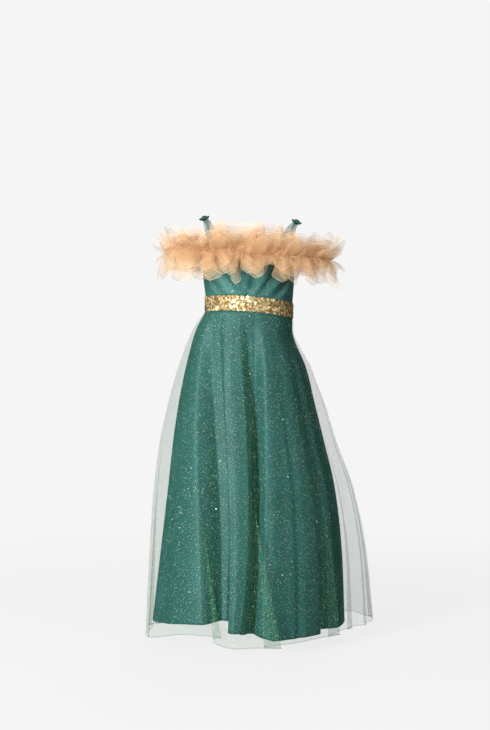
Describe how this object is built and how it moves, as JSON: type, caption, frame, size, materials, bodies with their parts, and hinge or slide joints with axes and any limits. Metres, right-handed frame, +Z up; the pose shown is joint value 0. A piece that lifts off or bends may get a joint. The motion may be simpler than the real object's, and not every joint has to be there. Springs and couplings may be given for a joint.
{
  "type": "princess costume",
  "caption": "Floor-length satin gown with a sheer glitter overskirt, sequin waistband and gathered tulle off-shoulder ruffle, hollow as worn.",
  "frame": {"origin": "midway between the two knots on top of the shoulder straps, where the wearer's shoulders hold the costume", "axes": "+Z up along the body, front towards -Y, +X towards the wearer's left"},
  "size_m": [0.4729, 0.4411, 0.8708],
  "materials": {
    "satin": "teal polyester satin, soft sheen",
    "green_tulle": "sheer nylon tulle with pale glitter dots",
    "tan_tulle": "layered soft nylon tulle",
    "sequin_tape": "overlapping gold sequins on a ribbon",
    "strap_tulle": "gathered sheer teal tulle",
    "strap_satin": "dark teal satin"
  },
  "bodies": {
    "root": {"bodice_front": "satin", "bodice_back_right": "satin", "bodice_back_left": "satin", "waistband": "sequin_tape", "skirt_front": "satin", "skirt_back": "satin", "overskirt_front": "green_tulle", "overskirt_back": "green_tulle", "ruffle_inner": "tan_tulle", "ruffle_outer": "tan_tulle", "strap_left": "strap_tulle", "strap_right": "strap_tulle", "strap_knot_left": "strap_satin", "strap_knot_right": "strap_satin"}
  },
  "joints": []
}
